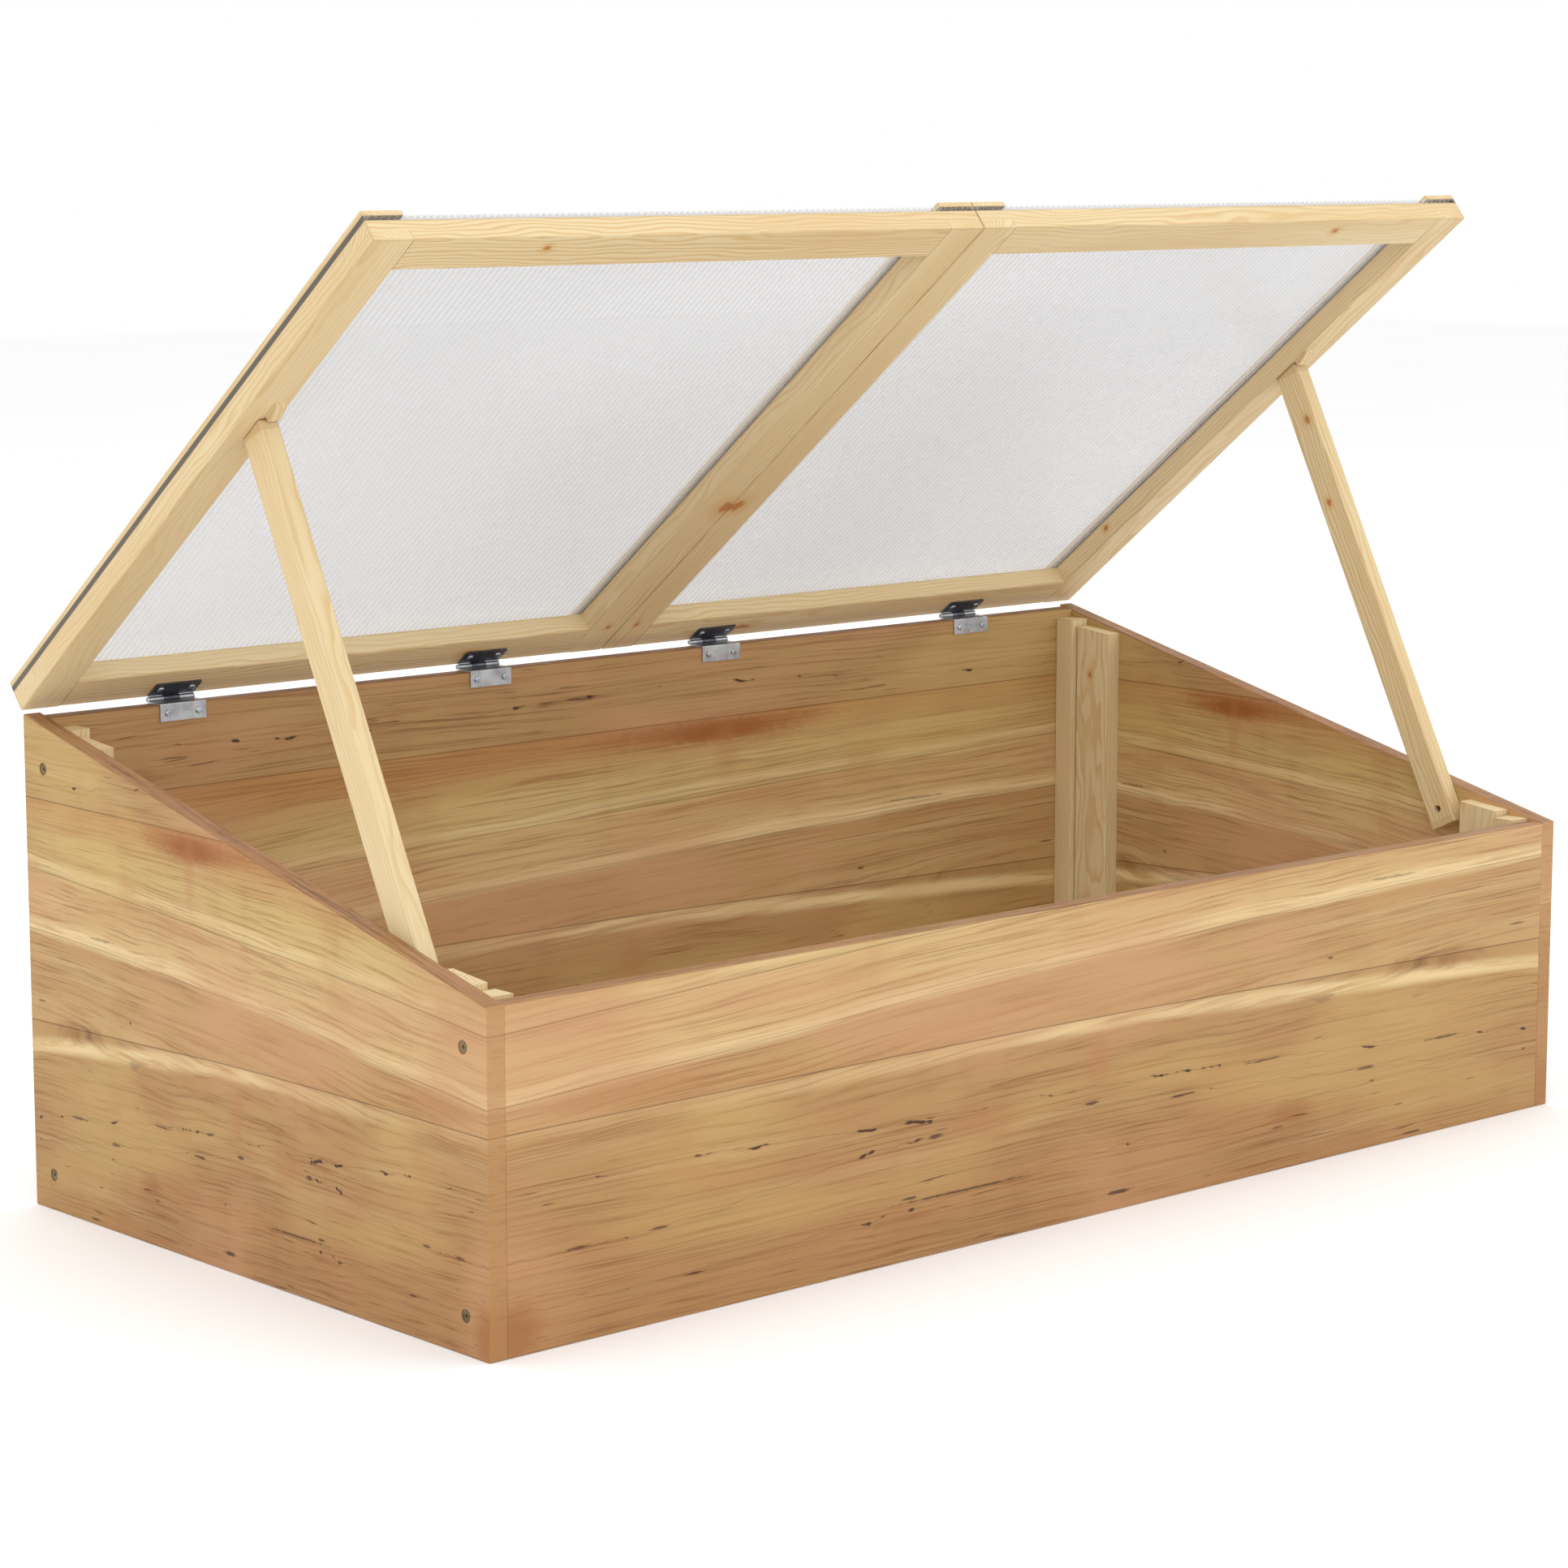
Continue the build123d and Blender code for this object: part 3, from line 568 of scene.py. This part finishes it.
lidPlan = {
    "left_lid_outer_stile": {"heart": (0.02, 0.03), "slide": 0.2, "knots": []},
    "left_lid_inner_stile": {
        "heart": (0.045, 0.012), "slide": 1.7,
        "knots": [
            ((-0.076, 0.011, -0.008), (0.0095, 0.0088, 0.012)),
            ((-0.248, 0.002, -0.008), (0.004, 0.003, 0.006)),
        ]},
    "right_lid_inner_stile": {
        "heart": (-0.03, 0.018), "slide": 2.9,
        "knots": [
            ((-0.076, -0.011, -0.008), (0.0095, 0.0088, 0.012)),
            ((-0.248, -0.002, -0.008), (0.004, 0.003, 0.006)),
        ]},
    "right_lid_outer_stile": {
        "heart": (0.01, 0.05), "slide": 3.4,
        "knots": [((-0.178, -0.0165, 0.002), (0.004, 0.004, 0.003))]},
    "left_lid_front_rail": {
        "heart": (0.025, 0.03), "slide": 4.1,
        "knots": [((-0.125, -0.004, -0.008), (0.004, 0.004, 0.008))]},
    "right_lid_front_rail": {
        "heart": (-0.02, 0.035), "slide": 5.6,
        "knots": [((0.126, -0.004, -0.008), (0.005, 0.004, 0.008))]},
    "left_lid_rear_rail": {
        "heart": (0.03, 0.022), "slide": 6.3,
        "knots": [((0.130, 0.0, -0.008), (0.009, 0.005, 0.008))]},
    "right_lid_rear_rail": {
        "heart": (0.018, 0.04), "slide": 7.2,
        "knots": [((-0.131, 0.003, -0.008), (0.012, 0.004, 0.008))]},
    "left_lid_outer_batten": {"heart": (0.02, 0.05), "slide": 8.4, "knots": []},
    "left_lid_inner_batten": {"heart": (0.03, 0.04), "slide": 9.5, "knots": []},
    "right_lid_inner_batten": {"heart": (-0.02, 0.045), "slide": 10.3, "knots": []},
    "right_lid_outer_batten": {"heart": (-0.01, 0.06), "slide": 11.1, "knots": []},
}
frameLevel = lidSize["lift"] + lidSize["frame"] / 2
battenLevel = lidSize["lift"] + lidSize["frame"] + lidSize["sheet"] + lidSize["batten"] / 2
for name, plan in lidPlan.items():
    middle = middleOf(name)
    half = halfOf(name)
    level = battenLevel if "batten" in name else frameLevel
    thick = lidSize["batten"] if "batten" in name else lidSize["frame"]
    if "rail" in name:
        up = lidSize["stile"] / 2 if "rear" in name else lidSize["depth"] - lidSize["stile"] / 2
        size = (half.x, lidSize["stile"] / 2, thick / 2)
        centre, along, across = onLid(middle.x, up, level), (1, 0, 0), -upLid
    else:
        size = (lidSize["depth"] / 2, lidSize["stile"] / 2, thick / 2)
        centre, along, across = onLid(middle.x, lidSize["depth"] / 2, level), upLid, (1, 0, 0)
    dress(name, makeFirMaterial(
        name + "_wood", centre, along, across, size, plan["heart"], plan["slide"], plan["knots"]))

stopPlan = {"halfSize": (0.008, 0.005, 0.00225), "heart": (0.01, 0.02), "slide": 12.0}
for side in ("left", "right"):
    name = side + "_lid_stop_block"
    dress(name, makeFirMaterial(
        name + "_wood", middleOf(name), upLid, (1, 0, 0),
        stopPlan["halfSize"], stopPlan["heart"], stopPlan["slide"]))
print("cold frame: lid frames finished")

# props

propPlan = {
    "left_prop": {"heart": (0.012, 0.006), "slide": 13.0, "knots": []},
    "right_prop": {
        "heart": (-0.020, 0.010), "slide": 14.2,
        "knots": [
            ((0.158, 0.004, -0.007), (0.005, 0.0035, 0.01)),
            ((0.085, -0.003, -0.007), (0.004, 0.003, 0.01)),
        ]},
}
propSize = {"angle": 63.6, "half": (0.2, 0.0125, 0.00725)}
propAngle = math.radians(propSize["angle"])
upProp = (0, math.cos(propAngle), math.sin(propAngle))
acrossProp = (0, -math.sin(propAngle), math.cos(propAngle))
for name, plan in propPlan.items():
    dress(name, makeFirMaterial(
        name + "_wood", middleOf(name), upProp, acrossProp, propSize["half"],
        plan["heart"], plan["slide"], plan["knots"]))
print("cold frame: props finished")

# twin-wall sheets

sheetLook = {
    "clear": shade(242, 242, 243), "hazeAndReflection": shade(234, 234, 235), "edge": shade(84, 76, 62),
    "web": shade(186, 188, 192), "flute": 0.0055, "sideEdge": 0.5493, "edgeBlur": 0.0004,
    "alpha": 0.15, "alphaSwing": 0.01, "roughness": 0.34, "roughnessSwing": 0.10,
}


def makeSheetMaterial():
    material, tree, shader = newMaterial("twinWallSheet")
    where = tree.nodes.new("ShaderNodeTexCoord")
    split = tree.nodes.new("ShaderNodeSeparateXYZ")
    tree.links.new(where.outputs["Object"], split.inputs[0])
    # blotches of a slightly greyer white: partly the sheet's own haze, partly painted cloudy reflection
    hazeAndReflection = cloud(tree, stretched(tree, where.outputs["Object"], (2.2, 1.8, 1.8)), detail=1)
    lines = cloud(tree, stretched(tree, where.outputs["Object"], (320.0, 2.0, 2.0)), detail=2)
    dust = cloud(tree, stretched(tree, where.outputs["Object"], (40.0, 40.0, 40.0)), detail=2)
    colour = blendColour(tree, fade(tree, hazeAndReflection, 0.35, 0.7), sheetLook["clear"], sheetLook["hazeAndReflection"])
    colour = blendColour(tree, fade(tree, lines, 0.5, 0.7, 0.0, 0.35), colour, sheetLook["hazeAndReflection"])
    # each flute's web shows as a fine line
    flute = calc(tree, "SINE", calc(tree, "MULTIPLY", split.outputs["X"], 2 * math.pi / sheetLook["flute"]))
    web = fade(tree, flute, 0.1, 1.0)
    colour = blendColour(tree, calc(tree, "MULTIPLY", web, 0.8), colour, sheetLook["web"])
    # the outer edge, squeezed between the batten and the frame, is painted dark and opaque: painted shade
    # where the batten keeps the light off the sheet
    fromSeam = calc(tree, "ABSOLUTE", split.outputs["X"])
    battenShadeMask = fade(tree, fromSeam, sheetLook["sideEdge"], sheetLook["sideEdge"] + sheetLook["edgeBlur"])
    colour = blendColour(tree, battenShadeMask, colour, sheetLook["edge"])
    tree.links.new(colour, shader.inputs["Base Color"])
    alpha, alphaSwing = sheetLook["alpha"], sheetLook["alphaSwing"]
    solid = calc(tree, "ADD", fade(tree, hazeAndReflection, 0.3, 0.7, alpha - alphaSwing, alpha + alphaSwing), battenShadeMask)
    tree.links.new(calc(tree, "MINIMUM", solid, 1.0), shader.inputs["Alpha"])
    smooth = sheetLook["roughness"]
    rough = fade(tree, dust, 0.4, 0.75, smooth, smooth + sheetLook["roughnessSwing"])
    tree.links.new(rough, shader.inputs["Roughness"])
    shader.inputs["IOR"].default_value = 1.58
    surfaceBump(tree, shader, flute, 0.10, 0.0002)
    return material


sheetFinish = makeSheetMaterial()
for side in ("left", "right"):
    dress(side + "_lid_sheet", sheetFinish)
print("cold frame: sheets finished")

# steel: hinges and screws

steelLook = {
    "boxLeaf": {"base": shade(188, 190, 194), "dull": shade(162, 164, 168), "rough": 0.36},
    # painted dark reflection: the lid leaves are the same steel as the box leaves, drawn darker for what they
    # mirror
    "lidLeafDarkReflection": {"base": shade(118, 121, 125), "dull": shade(92, 95, 99), "rough": 0.40},
    "pin": {"base": shade(150, 150, 152), "dull": shade(110, 110, 112), "rough": 0.4},
    "brightScrew": {"base": shade(196, 204, 216), "dull": shade(150, 154, 160), "rough": 0.3},
    "darkScrew": {"base": shade(150, 130, 100), "dull": shade(116, 99, 74), "rough": 0.55},
}


def makeSteelMaterial(name, look):
    material, tree, shader = newMaterial(name)
    where = tree.nodes.new("ShaderNodeTexCoord").outputs["Object"]
    spangle = tree.nodes.new("ShaderNodeTexVoronoi")
    tree.links.new(where, spangle.inputs["Vector"])
    spangle.inputs["Scale"].default_value = 260.0
    mottle = cloud(tree, where, scale=90.0, detail=4)
    scratch = cloud(tree, stretched(tree, where, (60.0, 900.0, 900.0)), detail=3)
    colour = blendColour(tree, fade(tree, mottle, 0.35, 0.7), look["base"], look["dull"])
    colour = blendColour(tree, 0.12, colour, spangle.outputs["Color"], "SOFT_LIGHT")
    colour = blendColour(tree, fade(tree, scratch, 0.62, 0.72, 0.0, 0.25), colour, look["base"])
    tree.links.new(colour, shader.inputs["Base Color"])
    shader.inputs["Metallic"].default_value = 1.0
    rough = fade(tree, mottle, 0.3, 0.7, look["rough"] - 0.06, look["rough"] + 0.1)
    tree.links.new(rough, shader.inputs["Roughness"])
    surfaceBump(tree, shader, scratch, 0.12, 0.0002)
    return material


steel = {kind: makeSteelMaterial(kind + "Steel", look) for kind, look in steelLook.items()}
for name in frame["nodes"]:
    if name.endswith("box_leaf"):
        dress(name, steel["boxLeaf"])
    elif name.endswith("lid_leaf"):
        dress(name, steel["lidLeafDarkReflection"])
    elif name.endswith("_pin"):
        dress(name, steel["pin"])
    elif name.endswith("leaf_screws") or name.endswith("batten_screws"):
        dress(name, steel["brightScrew"])
    elif "screw" in name:
        dress(name, steel["darkScrew"])
print("cold frame: steel finished")

# floor, light and camera

studio = {
    "floor": shade(252, 252, 252), "floorCloud": shade(247, 247, 248), "floorRoughness": 0.9,
    "floorSize": 24.0, "floorLevel": -0.0004, "sky": 1.0, "aim": (0, 0, 0.3),
    "key": {"place": (-3.2, -3.4, 3.6), "size": 4.0, "power": 50.0},
    "fill": {"place": (3.6, -2.6, 2.8), "size": 4.0, "power": 22.0},
    "top": {"place": (0.0, 0.6, 4.2), "size": 5.0, "power": 60.0},
}
bpy.ops.object.select_all(action="DESELECT")
bpy.ops.mesh.primitive_plane_add(size=studio["floorSize"], location=(0, 0, studio["floorLevel"]))
floor = bpy.context.object
floor.name = "studioFloor"
floorFinish, tree, shader = newMaterial("studioFloor")
where = tree.nodes.new("ShaderNodeTexCoord").outputs["Object"]
patchy = fade(tree, cloud(tree, where, scale=1.5), 0.3, 0.7, 0.0, 0.3)
floorColour = blendColour(tree, patchy, studio["floor"], studio["floorCloud"])
tree.links.new(floorColour, shader.inputs["Base Color"])
shader.inputs["Roughness"].default_value = studio["floorRoughness"]
floor.data.materials.append(floorFinish)

world = bpy.data.worlds.new("studioSky")
scene.world = world
world.use_nodes = True
world.node_tree.nodes["Background"].inputs["Color"].default_value = (1.0, 1.0, 1.0, 1.0)
world.node_tree.nodes["Background"].inputs["Strength"].default_value = studio["sky"]

for name in ("key", "fill", "top"):
    plan = studio[name]
    bpy.ops.object.light_add(type="AREA", location=plan["place"])
    lamp = bpy.context.object
    lamp.name = name + "Light"
    lamp.data.size = plan["size"]
    lamp.data.energy = plan["power"]
    towards = Vector(studio["aim"]) - Vector(plan["place"])
    lamp.rotation_euler = towards.to_track_quat("-Z", "Y").to_euler()

cameraPlan = {
    "place": (-2.1418, -2.3476, 0.7868), "turn": -41.85, "tilt": 8.873,
    "lens": 95.06, "sensor": 36.0, "nearest": 0.05,
}
bpy.ops.object.camera_add(location=cameraPlan["place"])
camera = bpy.context.object
camera.name = "camera"
camera.rotation_euler = (math.radians(90 - cameraPlan["tilt"]), 0, math.radians(cameraPlan["turn"]))
camera.data.lens = cameraPlan["lens"]
camera.data.sensor_width = cameraPlan["sensor"]
camera.data.clip_start = cameraPlan["nearest"]
scene.camera = camera
scene.view_settings.view_transform = "Standard"
scene.cycles.transparent_max_bounces = 32
print("cold frame: studio ready")
